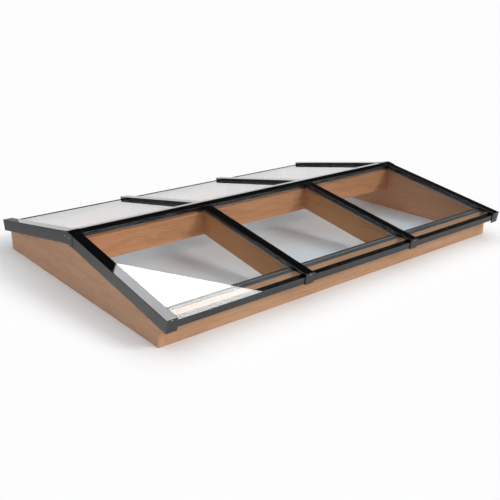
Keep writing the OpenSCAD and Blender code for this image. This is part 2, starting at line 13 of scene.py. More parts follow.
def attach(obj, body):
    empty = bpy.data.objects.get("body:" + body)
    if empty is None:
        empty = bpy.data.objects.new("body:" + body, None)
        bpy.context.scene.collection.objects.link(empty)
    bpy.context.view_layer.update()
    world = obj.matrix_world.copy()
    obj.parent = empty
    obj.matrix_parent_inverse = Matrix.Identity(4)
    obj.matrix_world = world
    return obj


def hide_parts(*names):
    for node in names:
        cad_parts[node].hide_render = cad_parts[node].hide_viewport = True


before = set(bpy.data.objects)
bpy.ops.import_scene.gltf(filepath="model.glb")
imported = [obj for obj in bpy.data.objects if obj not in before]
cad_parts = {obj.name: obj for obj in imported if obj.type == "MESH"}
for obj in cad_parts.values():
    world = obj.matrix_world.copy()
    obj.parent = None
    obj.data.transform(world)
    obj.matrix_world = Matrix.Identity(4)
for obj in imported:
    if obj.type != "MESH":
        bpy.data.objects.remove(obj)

log = logging.getLogger("rooflight")

Colour = tuple[float, float, float]
Triple = tuple[float, float, float]
Pair = tuple[float, float]
Socket = bpy.types.NodeSocket

ROOT_BODY = "root"
MERGE_DISTANCE = 0.000001
FLAT_ANGLE = math.radians(0.5)
SHARP_ANGLE = math.radians(25.0)
PITCH = math.radians(10.0)
SIXTH = math.pi / 3  # turn from one side of a hexagon to the next
LEVEL = 90.0  # degrees from facing straight down to facing level
SLOPES = ("front", "rear")
GABLES = ("left", "right")
BAYS = (1, 2, 3)
BARS = (1, 2, 3, 4)
BLACK = (0.0, 0.0, 0.0)
WHITE = (1.0, 1.0, 1.0)
SURFACE = {"Color": "NodeSocketColor", "Roughness": "NodeSocketFloat", "Height": "NodeSocketFloat"}


class Grain(Enum):
    """Direction that a board's grain runs in, as the turn that brings it onto X."""

    ALONG_RIDGE = (0.0, 0.0, 0.0)
    ACROSS = (0.0, 0.0, -math.pi / 2)
    DOWN_FRONT = (0.0, PITCH, -math.pi / 2)
    DOWN_REAR = (0.0, -PITCH, -math.pi / 2)


class Sketch:
    """Adds and joins the nodes of one shader tree."""

    def __init__(self, tree: bpy.types.NodeTree) -> None:
        """Starts on the node tree of a material, world or group, and empties it."""
        self.tree = tree
        tree.nodes.clear()

    def add(self, kind: str, inputs: dict[str | int, object] | None = None,
            **settings: object) -> bpy.types.Node:
        """Adds a node, with its settings and its inputs.

        Args:
            kind: Blender's name of the node type.
            inputs: Input names or numbers, each with a value or with the socket to join to it.
            settings: Properties of the node.

        Returns:
            The new node.
        """
        node = self.tree.nodes.new(kind)
        for name, value in settings.items():
            setattr(node, name, value)
        for name, value in (inputs or {}).items():
            if isinstance(value, bpy.types.NodeSocket):
                self.tree.links.new(value, node.inputs[name])
            else:
                node.inputs[name].default_value = value
        return node

    def math(self, operation: str, *values: float | Socket) -> Socket:
        """Adds a math node of one operation on values or sockets, and gives its output socket."""
        return self.add("ShaderNodeMath", dict(enumerate(values)), operation=operation).outputs[0]

    def span(self, value: Socket, low: float | Socket, high: float | Socket, first: float = 0.0,
             last: float = 1.0) -> Socket:
        """Maps the values from first to last onto results from low to high, held at both ends."""
        ports = {"Value": value, "From Min": first, "From Max": last, "To Min": low, "To Max": high}
        return self.add("ShaderNodeMapRange", ports).outputs["Result"]

    def fade(self, value: Socket, none: float, full: float) -> Socket:
        """Turns a value into a mask that fades from black to white.

        Args:
            value: The socket to judge.
            none: Value where the mask is black.
            full: Value where it is white, which may be the lower of the two.

        Returns:
            The mask socket.
        """
        node = self.add("ShaderNodeValToRGB", {"Fac": value})
        stops = sorted(((none, BLACK), (full, WHITE)))
        for element, (place, colour) in zip(node.color_ramp.elements, stops):
            element.position = place
            element.color = (*colour, 1.0)
        return node.outputs["Color"]

    def mix(self, factor: float | Socket, first: Colour | Socket, second: Colour | Socket,
            blend: str = "MIX") -> Socket:
        """Mixes two colours.

        Args:
            factor: Share of the second colour.
            first: Colour or socket.
            second: Colour or socket.
            blend: Blender's name of the blend type.

        Returns:
            The colour socket.
        """
        node = self.add("ShaderNodeMix", data_type="RGBA", blend_type=blend)
        ports = [s for s in node.inputs if s.enabled]
        for port, value in zip(ports, (factor, first, second)):
            if isinstance(value, bpy.types.NodeSocket):
                self.tree.links.new(value, port)
            else:
                port.default_value = (*value, 1.0) if isinstance(value, tuple) else value
        return next(s for s in node.outputs if s.enabled)

    def pick(self, mask: Socket, yes: float | Socket, no: float | Socket) -> Socket:
        """Gives the first of two values or sockets where a mask is 1, and the second where it is 0."""
        return self.add("ShaderNodeMix", {0: mask, 2: no, 3: yes}, data_type="FLOAT").outputs[0]


def shader_group(name: str, inputs: dict[str, str],
                 outputs: dict[str, str]) -> tuple[Sketch, bpy.types.Node, bpy.types.Node]:
    """Starts a shader node group with named sockets.

    Args:
        name: Name of the group.
        inputs: Input names with their socket types.
        outputs: Output names with their socket types.

    Returns:
        The group's sketch, its input node and its output node.
    """
    tree = bpy.data.node_groups.new(name, "ShaderNodeTree")
    for socket, kind in inputs.items():
        tree.interface.new_socket(socket, in_out="INPUT", socket_type=kind)
    for socket, kind in outputs.items():
        tree.interface.new_socket(socket, in_out="OUTPUT", socket_type=kind)
    sketch = Sketch(tree)
    return sketch, sketch.add("NodeGroupInput"), sketch.add("NodeGroupOutput")


@dataclass(frozen=True)
class Streaks:
    """Noise drawn out along the grain.

    Attributes:
        along: Marks per metre along the grain.
        across: Marks per metre across the grain.
        detail: Levels of finer marks.
        roughness: Strength of each finer level.
    """

    along: float
    across: float
    detail: float
    roughness: float = 0.62

    def value(self, sk: Sketch, place: Socket) -> Socket:
        """Adds the noise.

        Args:
            sk: The sketch to add the nodes to.
            place: The place in the board, with the grain along X.

        Returns:
            The value socket.
        """
        marks = (self.along, self.across, self.across)
        drawn = sk.add("ShaderNodeVectorMath", {0: place, 1: marks}, operation="MULTIPLY")
        ports = {"Vector": drawn.outputs[0], "Scale": 1.0, "Detail": self.detail,
                 "Roughness": self.roughness}
        return sk.add("ShaderNodeTexNoise", ports).outputs["Fac"]


@dataclass(frozen=True)
class Rings:
    """Growth rings round the grain.

    Attributes:
        scale: How close the rings lie.
        distortion: How far they stray.
        detail_scale: How close their finer waves lie.
        detail: Levels of finer waves.
    """

    scale: float
    distortion: float
    detail_scale: float
    detail: float = 2.0

    def value(self, sk: Sketch, place: Socket) -> Socket:
        """Adds the rings at a place in a board with its grain along X, and gives their value socket."""
        ports = {"Vector": place, "Scale": self.scale, "Distortion": self.distortion,
                 "Detail": self.detail, "Detail Scale": self.detail_scale}
        return sk.add("ShaderNodeTexWave", ports, wave_type="RINGS", rings_direction="X").outputs["Fac"]


@dataclass(frozen=True)
class SoftwoodGrain:
    """Straight timber grain along X, with end grain where a face looks along X.

    Attributes:
        bend_scale: Bends of the grain per metre.
        bend_detail: Levels of finer bends.
        bend: How far the grain bends, in metres.
        bands: Broad bands.
        band_fade: Values of the bands for the warm and for the pale colour.
        arcs: Arcs of the figure.
        arc_turn: Turn of the arcs away from the grain.
        arc_stretch: Scale that draws the arcs out along the grain.
        arc_fade: Values of the arcs for none and for a full arc.
        fibre: Fine fibres.
        fibre_fade: Values of the fibres for none and for a dark line.
        fibre_share: Share of the dark colour in a line.
        pores: Short pores.
        pore_fade: Values of the pores for none and for a dark mark.
        pore_share: Share of the dark colour in a mark.
        pore_depth: Depth of a mark, as a share of the fibres' height.
        ends: Rings of the end grain.
        end_fade: Values of the rings for early and for late wood.
        end_share: Share of the dark colour in the late wood.
        dull: Roughness where the fibres are lowest.
        shiny: Roughness where they are highest.
    """

    bend_scale: float = 2.2
    bend_detail: float = 3.0
    bend: float = 0.035
    bands: Streaks = Streaks(0.9, 22.0, 4.0)
    band_fade: Pair = (0.30, 0.68)
    arcs: Rings = Rings(9.0, 6.0, 1.6)
    arc_turn: Triple = (0.0, 0.05, 0.07)
    arc_stretch: Triple = (0.35, 1.0, 1.0)
    arc_fade: Pair = (0.72, 0.97)
    fibre: Streaks = Streaks(5.0, 420.0, 3.0)
    fibre_fade: Pair = (0.52, 0.34)
    fibre_share: float = 0.34
    pores: Streaks = Streaks(14.0, 900.0, 1.0)
    pore_fade: Pair = (0.34, 0.24)
    pore_share: float = 0.30
    pore_depth: float = 0.5
    ends: Rings = Rings(42.0, 5.0, 0.7)
    end_fade: Pair = (0.45, 0.9)
    end_share: float = 0.26
    dull: float = 0.62
    shiny: float = 0.44

    def group(self) -> bpy.types.NodeTree:
        """Builds the shader group.

        Returns:
            The group, with colour, roughness and height outputs.
        """
        ins = {"Vector": "NodeSocketVector", "End": "NodeSocketFloat", "Outside": "NodeSocketFloat",
               "Pale": "NodeSocketColor", "Warm": "NodeSocketColor", "Dark": "NodeSocketColor",
               "Weather": "NodeSocketColor", "Figure": "NodeSocketFloat"}
        sk, given, made = shader_group("timber_grain", ins, SURFACE)
        place, end, outside_mask, pale, warm, dark, outside_shade, figure = (given.outputs[name] for name in ins)
        drift = sk.add("ShaderNodeTexNoise", {
            "Vector": place, "Scale": self.bend_scale, "Detail": self.bend_detail}).outputs["Color"]
        sway = sk.add("ShaderNodeVectorMath", {0: drift, "Scale": self.bend}, operation="SCALE")
        bent = sk.add("ShaderNodeVectorMath", {0: place, 1: sway.outputs[0]}, operation="ADD").outputs[0]
        leaning = sk.add("ShaderNodeMapping", {
            "Vector": bent, "Rotation": self.arc_turn, "Scale": self.arc_stretch}).outputs[0]
        fibre = self.fibre.value(sk, bent)
        bands = sk.fade(self.bands.value(sk, bent), *self.band_fade)
        arcs = sk.fade(self.arcs.value(sk, leaning), *self.arc_fade)
        lines = sk.fade(fibre, *self.fibre_fade)
        pores = sk.fade(self.pores.value(sk, bent), *self.pore_fade)
        late = sk.fade(self.ends.value(sk, bent), *self.end_fade)
        side = sk.mix(bands, warm, pale)
        for mask, share in ((arcs, figure), (lines, self.fibre_share), (pores, self.pore_share)):
            side = sk.mix(sk.math("MULTIPLY", mask, share), side, dark)
        cut = sk.mix(sk.math("MULTIPLY", late, self.end_share), pale, dark)
        # Painted shade: the faces that look out are multiplied by the outside tone, so the inside faces
        # stay paler.
        colour = sk.mix(outside_mask, sk.mix(end, side, cut), outside_shade, "MULTIPLY")
        height = sk.math("SUBTRACT", fibre, sk.math("MULTIPLY", pores, self.pore_depth))
        sk.tree.links.new(colour, made.inputs["Color"])
        sk.tree.links.new(sk.span(fibre, self.dull, self.shiny), made.inputs["Roughness"])
        sk.tree.links.new(height, made.inputs["Height"])
        return sk.tree


@dataclass(frozen=True)
class Mottle:
    """Uneven tone of a coated or moulded surface, with its fine texture.

    Attributes:
        patch_detail: Levels of finer patches.
        peel_detail: Levels of finer bumps.
        tone_fade: Values of the patches for the first and for the second colour.
    """

    patch_detail: float = 5.0
    peel_detail: float = 2.0
    tone_fade: Pair = (0.3, 0.7)

    def group(self) -> bpy.types.NodeTree:
        """Builds the shader group.

        Returns:
            The group, with colour, roughness and height outputs.
        """
        ins = {"Vector": "NodeSocketVector", "First": "NodeSocketColor", "Second": "NodeSocketColor",
               "Patch": "NodeSocketFloat", "Peel": "NodeSocketFloat", "Smooth": "NodeSocketFloat",
               "Rough": "NodeSocketFloat"}
        sk, given, made = shader_group("mottle", ins, SURFACE)
        place, first, second, patch, peel, smooth, rough = (given.outputs[name] for name in ins)
        patches, bumps = (
            sk.add("ShaderNodeTexNoise", {"Vector": place, "Scale": scale, "Detail": detail})
            for scale, detail in ((patch, self.patch_detail), (peel, self.peel_detail)))
        tone = sk.fade(patches.outputs["Fac"], *self.tone_fade)
        sk.tree.links.new(sk.mix(tone, first, second), made.inputs["Color"])
        sk.tree.links.new(sk.span(tone, smooth, rough), made.inputs["Roughness"])
        sk.tree.links.new(bumps.outputs["Fac"], made.inputs["Height"])
        return sk.tree


@dataclass(frozen=True)
class GlassFilm:
    """Faint film on glass that makes its gloss a little uneven.

    Attributes:
        scale: Patches per metre.
        detail: Levels of finer patches.
        haze_fade: Values of the patches for clear and for hazy glass.
    """

    scale: float = 3.0
    detail: float = 6.0
    haze_fade: Pair = (0.45, 0.75)

    def group(self) -> bpy.types.NodeTree:
        """Builds the shader group.

        Returns:
            The group, with a roughness output.
        """
        ins = {"Vector": "NodeSocketVector", "Haze": "NodeSocketFloat"}
        sk, given, made = shader_group("glass_film", ins, {"Roughness": "NodeSocketFloat"})
        place, haze = (given.outputs[name] for name in ins)
        ports = {"Vector": place, "Scale": self.scale, "Detail": self.detail}
        patches = sk.add("ShaderNodeTexNoise", ports)
        hazy = sk.fade(patches.outputs["Fac"], *self.haze_fade)
        sk.tree.links.new(sk.math("MULTIPLY", hazy, haze), made.inputs["Roughness"])
        return sk.tree


class Effects:
    """Shader effects that several finishes share, each a node group."""

    def __init__(self) -> None:
        """Builds the groups."""
        self.grain = SoftwoodGrain().group()
        self.mottle = Mottle().group()
        self.film = GlassFilm().group()


def start_material(name: str) -> tuple[bpy.types.Material, Sketch, bpy.types.Node, bpy.types.Node]:
    """Starts a material with an output and a Principled shader.

    Args:
        name: Name of the material.

    Returns:
        The material, its sketch, its Principled shader and its output node.
    """
    material = bpy.data.materials.new(name)
    material.use_nodes = True
    sk = Sketch(material.node_tree)
    out = sk.add("ShaderNodeOutputMaterial")
    shader = sk.add("ShaderNodeBsdfPrincipled")
    sk.tree.links.new(shader.outputs["BSDF"], out.inputs["Surface"])
    return material, sk, shader, out


def join_surface(sk: Sketch, shader: bpy.types.Node, effect: bpy.types.Node, bump: float,
                 relief: float) -> None:
    """Joins an effect's colour, roughness and height to a Principled shader.

    Args:
        sk: The material's sketch.
        shader: The Principled shader.
        effect: The node of the shared shader group.
        bump: Strength of the relief.
        relief: Depth of the relief in metres.
    """
    ports = {"Height": effect.outputs["Height"], "Strength": bump, "Distance": relief}
    raised = sk.add("ShaderNodeBump", ports)
    sk.tree.links.new(effect.outputs["Color"], shader.inputs["Base Color"])
    sk.tree.links.new(effect.outputs["Roughness"], shader.inputs["Roughness"])
    sk.tree.links.new(raised.outputs["Normal"], shader.inputs["Normal"])


def let_through(sk: Sketch, shader: bpy.types.Node, out: bpy.types.Node, mask: Socket,
                shade: Colour = WHITE) -> None:
    """Makes a material clear for some of the light.

    Args:
        sk: The material's sketch.
        shader: The shader for the rest of the light.
        out: The material's output node.
        mask: 1 where the material is clear, 0 elsewhere.
        shade: Colour of the light that comes through.
    """
    clear = sk.add("ShaderNodeBsdfTransparent", {"Color": (*shade, 1.0)})
    both = sk.add("ShaderNodeMixShader", {0: mask, 1: shader.outputs["BSDF"], 2: clear.outputs["BSDF"]})
    sk.tree.links.new(both.outputs[0], out.inputs["Surface"])


@dataclass(frozen=True)
class TimberFinish:
    """Planed and oiled softwood, with painted shade on the faces that look out, so that the inside faces
    come out paler.

    Attributes:
        pale: Colour of the early wood.
        warm: Colour of the body of the board.
        dark: Colour of the late wood and the pores.
        outside_shade: Painted shade on the faces that look out.
        figure: Share of the dark colour in the arcs of the figure.
        relief: Depth of the grain in metres.
        bump: Strength of that relief.
        ior: Index of refraction of the oiled surface.
        inward: How far a face has to look towards the middle, in metres, to count as an inside face, which
            gets no painted shade.
        end_facing: How squarely a face has to look along the grain to show end grain, as a cosine.
        shift_shares: Share of a board's shift that moves its pattern along each axis.
    """

    pale: Colour = (0.800, 0.420, 0.225)
    warm: Colour = (0.670, 0.327, 0.162)
    dark: Colour = (0.366, 0.157, 0.070)
    outside_shade: Colour = (0.737, 0.788, 0.853)
    figure: float = 0.12
    relief: float = 0.0004
    bump: float = 0.5
    ior: float = 1.45
    inward: float = 0.3
    end_facing: float = 0.8
    shift_shares: Triple = (1.0, 0.37, 0.21)

    def material(self, effects: Effects, name: str, grain: Grain, shift: float,
                 has_outside: bool) -> bpy.types.Material:
        """Makes the finish for one board.

        Args:
            effects: The shared shader groups.
            name: Name of the material.
            grain: Direction of the board's grain.
            shift: Distance that moves the pattern, so that boards differ.
            has_outside: Whether the board has faces that look out, which get painted shade.

        Returns:
            The material.
        """
        material, sk, shader, _ = start_material(name)
        coords = sk.add("ShaderNodeTexCoord").outputs
        moved = tuple(shift * share for share in self.shift_shares)
        turned = sk.add("ShaderNodeMapping", {
            "Vector": coords["Object"], "Rotation": grain.value, "Location": moved})
        facing = sk.add("ShaderNodeMapping", {"Vector": coords["Normal"], "Rotation": grain.value},
                        vector_type="VECTOR")
        along = sk.add("ShaderNodeSeparateXYZ", {"Vector": facing.outputs[0]}).outputs["X"]
        end = sk.math("GREATER_THAN", sk.math("ABSOLUTE", along), self.end_facing)
        wood = sk.add("ShaderNodeGroup", {
            "Vector": turned.outputs[0], "End": end, "Pale": (*self.pale, 1.0), "Warm": (*self.warm, 1.0),
            "Dark": (*self.dark, 1.0), "Weather": (*self.outside_shade, 1.0), "Figure": self.figure},
            node_tree=effects.grain)
        # Painted shade goes on the faces that look away from the middle.
        if has_outside:
            outward = sk.add("ShaderNodeVectorMath", {0: coords["Object"], 1: coords["Normal"]},
                             operation="DOT_PRODUCT")
            outside_mask = sk.math("GREATER_THAN", outward.outputs["Value"], -self.inward)
            sk.tree.links.new(outside_mask, wood.inputs["Outside"])
        join_surface(sk, shader, wood, self.bump, self.relief)
        shader.inputs["IOR"].default_value = self.ior
        return material


@dataclass(frozen=True)
class SolidFinish:
    """Coated metal, bare metal, rubber or plastic with an uneven tone and a fine texture.

    Attributes:
        name: Name of the finish.
        first: First colour.
        second: Second colour.
        smooth: Least roughness.
        rough: Most roughness.
        metallic: Share of metal.
        patch: Patches per metre.
        peel: Bumps per metre of the fine texture.
        relief: Depth of the fine texture in metres.
        bump: Strength of that relief.
        gloss: Specular level.
        edge: Share of the reflection that metal keeps where it is seen along the surface.
    """

    name: str
    first: Colour
    second: Colour
    smooth: float
    rough: float
    metallic: float = 0.0
    patch: float = 6.0
    peel: float = 900.0
    relief: float = 0.00002
    bump: float = 0.3
    gloss: float = 0.5
    edge: float = 1.0

    def material(self, effects: Effects) -> bpy.types.Material:
        """Makes the finish.

        Args:
            effects: The shared shader groups.

        Returns:
            The material.
        """
        material, sk, shader, _ = start_material(self.name)
        place = sk.add("ShaderNodeTexCoord").outputs["Object"]
        tone = sk.add("ShaderNodeGroup", {
            "Vector": place, "First": (*self.first, 1.0), "Second": (*self.second, 1.0),
            "Patch": self.patch, "Peel": self.peel, "Smooth": self.smooth, "Rough": self.rough},
            node_tree=effects.mottle)
        join_surface(sk, shader, tone, self.bump, self.relief)
        shader.inputs["Metallic"].default_value = self.metallic
        shader.inputs["Specular IOR Level"].default_value = self.gloss
        shader.inputs["Specular Tint"].default_value = (self.edge, self.edge, self.edge, 1.0)
        return material


@dataclass(frozen=True)
class GlassFinish:
    """Clear glass that lets light through to what is under it.

    Attributes:
        name: Name of the finish.
        tint: Colour of the glass.
        shade: Colour of the light that falls through one face.
        haze: Roughness of the faint film.
        ior: Index of refraction.
    """

    name: str
    tint: Colour
    shade: Colour
    haze: float = 0.004
    ior: float = 1.5

    def material(self, effects: Effects) -> bpy.types.Material:
        """Makes the finish.

        Args:
            effects: The shared shader groups.

        Returns:
            The material.
        """
        material, sk, shader, out = start_material(self.name)
        place = sk.add("ShaderNodeTexCoord").outputs["Object"]
        film = sk.add("ShaderNodeGroup", {"Vector": place, "Haze": self.haze}, node_tree=effects.film)
        shader.inputs["Base Color"].default_value = (*self.tint, 1.0)
        shader.inputs["Transmission Weight"].default_value = 1.0
        shader.inputs["IOR"].default_value = self.ior
        sk.tree.links.new(film.outputs["Roughness"], shader.inputs["Roughness"])
        rays = sk.add("ShaderNodeLightPath").outputs
        light = sk.math("MAXIMUM", rays["Is Shadow Ray"], rays["Is Diffuse Ray"])
        let_through(sk, shader, out, light, self.shade)
        return material


COAT = SolidFinish(
    "anthracite_coat", first=(0.068, 0.068, 0.070), second=(0.078, 0.078, 0.080), smooth=0.010,
    rough=0.030, metallic=0.97, peel=700.0, relief=0.0000008, gloss=0.2)
GRAPHITE = SolidFinish(
    "graphite_coat", first=(0.069, 0.069, 0.070), second=(0.081, 0.081, 0.082), smooth=0.08, rough=0.16,
    metallic=0.97, relief=0.000002, gloss=0.2, edge=0.75)
MILL = SolidFinish(
    "mill_aluminium", first=(0.52, 0.53, 0.54), second=(0.64, 0.65, 0.66), smooth=0.30, rough=0.42,
    metallic=1.0, patch=20.0)
CHANNEL = SolidFinish(
    "channel_coat", first=(0.100, 0.102, 0.104), second=(0.130, 0.132, 0.135), smooth=0.30, rough=0.42)
TAPE = SolidFinish(
    "black_tape", first=(0.0010, 0.0010, 0.0010), second=(0.0030, 0.0030, 0.0030), smooth=0.45, rough=0.62,
    peel=300.0, gloss=0.05)
SEALANT = SolidFinish(
    "edge_sealant", first=(0.085, 0.088, 0.086), second=(0.110, 0.113, 0.110), smooth=0.45, rough=0.62,
    peel=300.0, gloss=0.2)
RUBBER = SolidFinish(
    "gasket_rubber", first=(0.0090, 0.0090, 0.0090), second=(0.0150, 0.0150, 0.0150), smooth=0.55,
    rough=0.75, peel=500.0)
PACKER = SolidFinish(
    "packer_plastic", first=(0.020, 0.020, 0.020), second=(0.028, 0.028, 0.028), smooth=0.45, rough=0.60)
SPACER = SolidFinish(
    "spacer_bar", first=(0.140, 0.146, 0.150), second=(0.180, 0.187, 0.190), smooth=0.40, rough=0.55,
    patch=30.0, gloss=0.2)
STEEL = SolidFinish(
    "stainless_steel", first=(0.55, 0.55, 0.56), second=(0.68, 0.68, 0.69), smooth=0.18, rough=0.30,
    metallic=1.0, patch=80.0)
OUTER_GLASS = GlassFinish("outer_glass", tint=(0.985, 0.990, 0.988), shade=(0.931, 0.956, 0.972))
INNER_GLASS = GlassFinish("inner_glass", tint=(0.985, 0.990, 0.988), shade=(0.927, 0.953, 0.970))


def dress(material: bpy.types.Material, *nodes: str) -> None:
    """Gives CAD nodes a material.

    Args:
        material: The material.
        nodes: Names of the nodes.
    """
    for node in nodes:
        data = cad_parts[node].data
        data.materials.clear()
        data.materials.append(material)
        log.info("dressed %s in %s", node, material.name)


def take_mesh(form: bmesh.types.BMesh, name: str) -> bpy.types.Mesh:
    """Turns a finished form into a mesh.

    Args:
        form: The form, which is given up.
        name: Name of the mesh.

    Returns:
        The mesh.
    """
    mesh = bpy.data.meshes.new(name)
    form.to_mesh(mesh)
    form.free()
    return mesh


def add_object(name: str, data: bpy.types.ID) -> bpy.types.Object:
    """Adds an object to the scene.

    Args:
        name: Name of the object.
        data: Its mesh, lamp or camera.

    Returns:
        The object.
    """
    made = bpy.data.objects.new(name, data)
    bpy.context.scene.collection.objects.link(made)
    return made


def place_piece(form: bmesh.types.BMesh, name: str, material: bpy.types.Material, node: str) -> None:
    """Turns a finished form into a piece that stands for a CAD node.

    Args:
        form: The form, in the frame of the part.
        name: Name of the piece.
        material: Its material.
        node: The CAD node that it stands for.
    """
    mesh = take_mesh(form, name)
    mesh.materials.append(material)
    piece = add_object(name, mesh)
    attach(piece, ROOT_BODY)
    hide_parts(node)
    log.info("built %s in place of %s", name, node)


@dataclass(frozen=True)
class Easing:
    """Small rounding of a piece's outward edges.

    Attributes:
        width: How far the rounding reaches into each face, in metres.
        least: Length of the shortest edge that is eased.
        steps: Facets across the rounding.
    """

    width: float
    least: float
    steps: int = 2

    def piece(self, node: str, material: bpy.types.Material, slot: str) -> None:
        """Builds the eased copy of a CAD node, in its place.

        Args:
            node: The CAD node.
            material: The material of the copy.
            slot: Name of a material slot; not used.
        """
        form = bmesh.new()
        form.from_mesh(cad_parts[node].data)
        bmesh.ops.remove_doubles(form, verts=form.verts, dist=MERGE_DISTANCE)
        bmesh.ops.dissolve_limit(form, angle_limit=FLAT_ANGLE, verts=form.verts, edges=form.edges)
        sharp = [edge for edge in form.edges if edge.is_convex and edge.calc_length() > self.least
                 and edge.calc_face_angle() > SHARP_ANGLE]
        bmesh.ops.bevel(form, geom=sharp, offset=self.width, offset_type="OFFSET", affect="EDGES",
                        segments=self.steps, profile=0.5, material=-1, clamp_overlap=False)
        for face in form.faces:
            face.smooth = False
        place_piece(form, f"{node}_eased", material, node)


@dataclass
class TimberKerb:
    """Gable boards, eaves boards, ridge beam and rafters.

    Attributes:
        gable_finish: Finish of the gable boards, with pale inside faces and the strongest painted shade on
            their outside faces.
        eaves_finish: Finish of the eaves boards, with less painted shade than the gable boards.
        beam_finish: Finish of the ridge beam, painted paler than the other boards to stand in for the
            light on it.
        rafter_finish: Finish of the rafters.
        spread: Distance between the grain patterns of two boards.
        arris: Easing of the boards' edges.
    """

    # Painted light and shade: each board's colours and outside tone are set to how light falls on it.
    gable_finish: TimberFinish = TimberFinish(
        pale=(0.920, 0.505, 0.288), warm=(0.770, 0.393, 0.207), dark=(0.420, 0.188, 0.090),
        outside_shade=(0.641, 0.657, 0.666))
    eaves_finish: TimberFinish = TimberFinish(outside_shade=(0.762, 0.882, 1.0))
    beam_finish: TimberFinish = TimberFinish(
        pale=(0.985, 0.490, 0.243), warm=(0.855, 0.389, 0.176), dark=(0.420, 0.168, 0.070),
        figure=0.24)
    rafter_finish: TimberFinish = TimberFinish(
        pale=(0.820, 0.415, 0.182), warm=(0.690, 0.322, 0.130), dark=(0.370, 0.150, 0.056))
    spread: float = 3.7
    arris: Easing = Easing(width=0.002, least=0.030)

    def boards(self) -> dict[str, Grain]:
        """Lists the boards.

        Returns:
            The grain of each board, by node.
        """
        grains = {f"gable_board_{end}": Grain.ACROSS for end in GABLES}
        grains |= {f"eaves_board_{side}": Grain.ALONG_RIDGE for side in SLOPES}
        grains["ridge_beam"] = Grain.ALONG_RIDGE
        for side, grain in zip(SLOPES, (Grain.DOWN_FRONT, Grain.DOWN_REAR)):
            grains |= {f"rafter_{side}_{end}": grain for end in GABLES}
        return grains

    def build(self, effects: Effects) -> None:
        """Builds each board with eased edges and its own stretch of grain.

        Args:
            effects: The shared shader groups.
        """
        finishes = {"gable": self.gable_finish, "eaves": self.eaves_finish, "ridge": self.beam_finish,
                    "rafter": self.rafter_finish}
        for number, (node, grain) in enumerate(self.boards().items(), 1):
            finish = finishes[node.split("_")[0]]
            has_outside = "board" in node
            wood = finish.material(effects, f"timber_{node}", grain, number * self.spread, has_outside)
            self.arris.piece(node, wood, "timber")


@dataclass
class GlazingBars:
    """Coated metal of the ridge, the bars, the verges and the eaves, with what it clamps and covers.

    Attributes:
        coat: Finish of the caps and end plates.
        graphite: Finish of the end blocks and eaves profiles.
        mill: Finish of the hidden extrusions.
        channel: Finish of the condensation channels.
        rubber: Finish of the gaskets.
        packer: Finish of the packers and setting blocks.
        corner: Easing of the coated pieces' edges.
    """

    coat: SolidFinish = COAT
    graphite: SolidFinish = GRAPHITE
    mill: SolidFinish = MILL
    channel: SolidFinish = CHANNEL
    rubber: SolidFinish = RUBBER
    packer: SolidFinish = PACKER
    corner: Easing = Easing(width=0.0004, least=0.010)

    def build(self, effects: Effects) -> None:
        """Builds the coated pieces with eased edges, and dresses what they hold.

        Args:
            effects: The shared shader groups.
        """
        caps = [f"{kind}_cap_{side}_{end}" for kind in ("bar", "verge") for side in SLOPES
                for end in GABLES]
        blocks = [f"end_block_{side}_{bar}" for side in SLOPES for bar in BARS]
        plates = [f"ridge_end_plate_{end}" for end in GABLES]
        profiles = [f"eaves_profile_{side}" for side in SLOPES]
        coat, graphite = self.coat.material(effects), self.graphite.material(effects)
        for node in ("ridge_cap", *caps, *plates):
            self.corner.piece(node, coat, "coated_aluminium")
        for node in (*blocks, *profiles):
            self.corner.piece(node, graphite, "coated_aluminium")
        dress(self.mill.material(effects), "ridge_base", "bar_bases", "ridge_pressure_plate",
              "bar_pressure_plates")
        dress(self.rubber.material(effects), "inner_gaskets", "outer_gaskets")
        dress(self.packer.material(effects), "verge_packers", "setting_blocks")
        dress(self.channel.material(effects), "condensation_channels")


@dataclass
class GlassUnits:
    """Panes of the six double units, with their spacers and seals.

    Attributes:
        outer: Finish of the outer panes.
        inner: Finish of the inner panes.
        spacer: Finish of the spacer frames.
        sealant: Finish of the edge seals and of the seals that keep out the rain.
        tape: Finish of the bonding tapes.
        arris: Easing of the panes' edges.
    """

    outer: GlassFinish = OUTER_GLASS
    inner: GlassFinish = INNER_GLASS
    spacer: SolidFinish = SPACER
    sealant: SolidFinish = SEALANT
    tape: SolidFinish = TAPE
    arris: Easing = Easing(width=0.0006, least=0.002)

    def build(self, effects: Effects) -> None:
        """Builds the panes with arrissed edges, and dresses their spacers and seals.

        Args:
            effects: The shared shader groups.
        """
        for layer, finish in (("outer", self.outer), ("inner", self.inner)):
            glass = finish.material(effects)
            for node in [f"{layer}_pane_{side}_{bay}" for side in SLOPES for bay in BAYS]:
                self.arris.piece(node, glass, f"{layer}_glass")
        dress(self.spacer.material(effects), "spacer_frames")
        dress(self.sealant.material(effects), "unit_edge_seals", "weather_seals")
        dress(self.tape.material(effects), "bonding_tapes")


def islands(form: bmesh.types.BMesh) -> list[list[Vector]]:
    """Sorts a form's points into the solids that they belong to.

    Args:
        form: The form, with its doubles merged.

    Returns:
        The points of each solid.
    """
    left = dict.fromkeys(form.verts)
    solids = []
    while left:
        found = [left.popitem()[0]]
        for vert in found:
            for edge in vert.link_edges:
                other = edge.other_vert(vert)
                if other in left:
                    del left[other]
                    found.append(other)
        solids.append([vert.co.copy() for vert in found])
    return solids


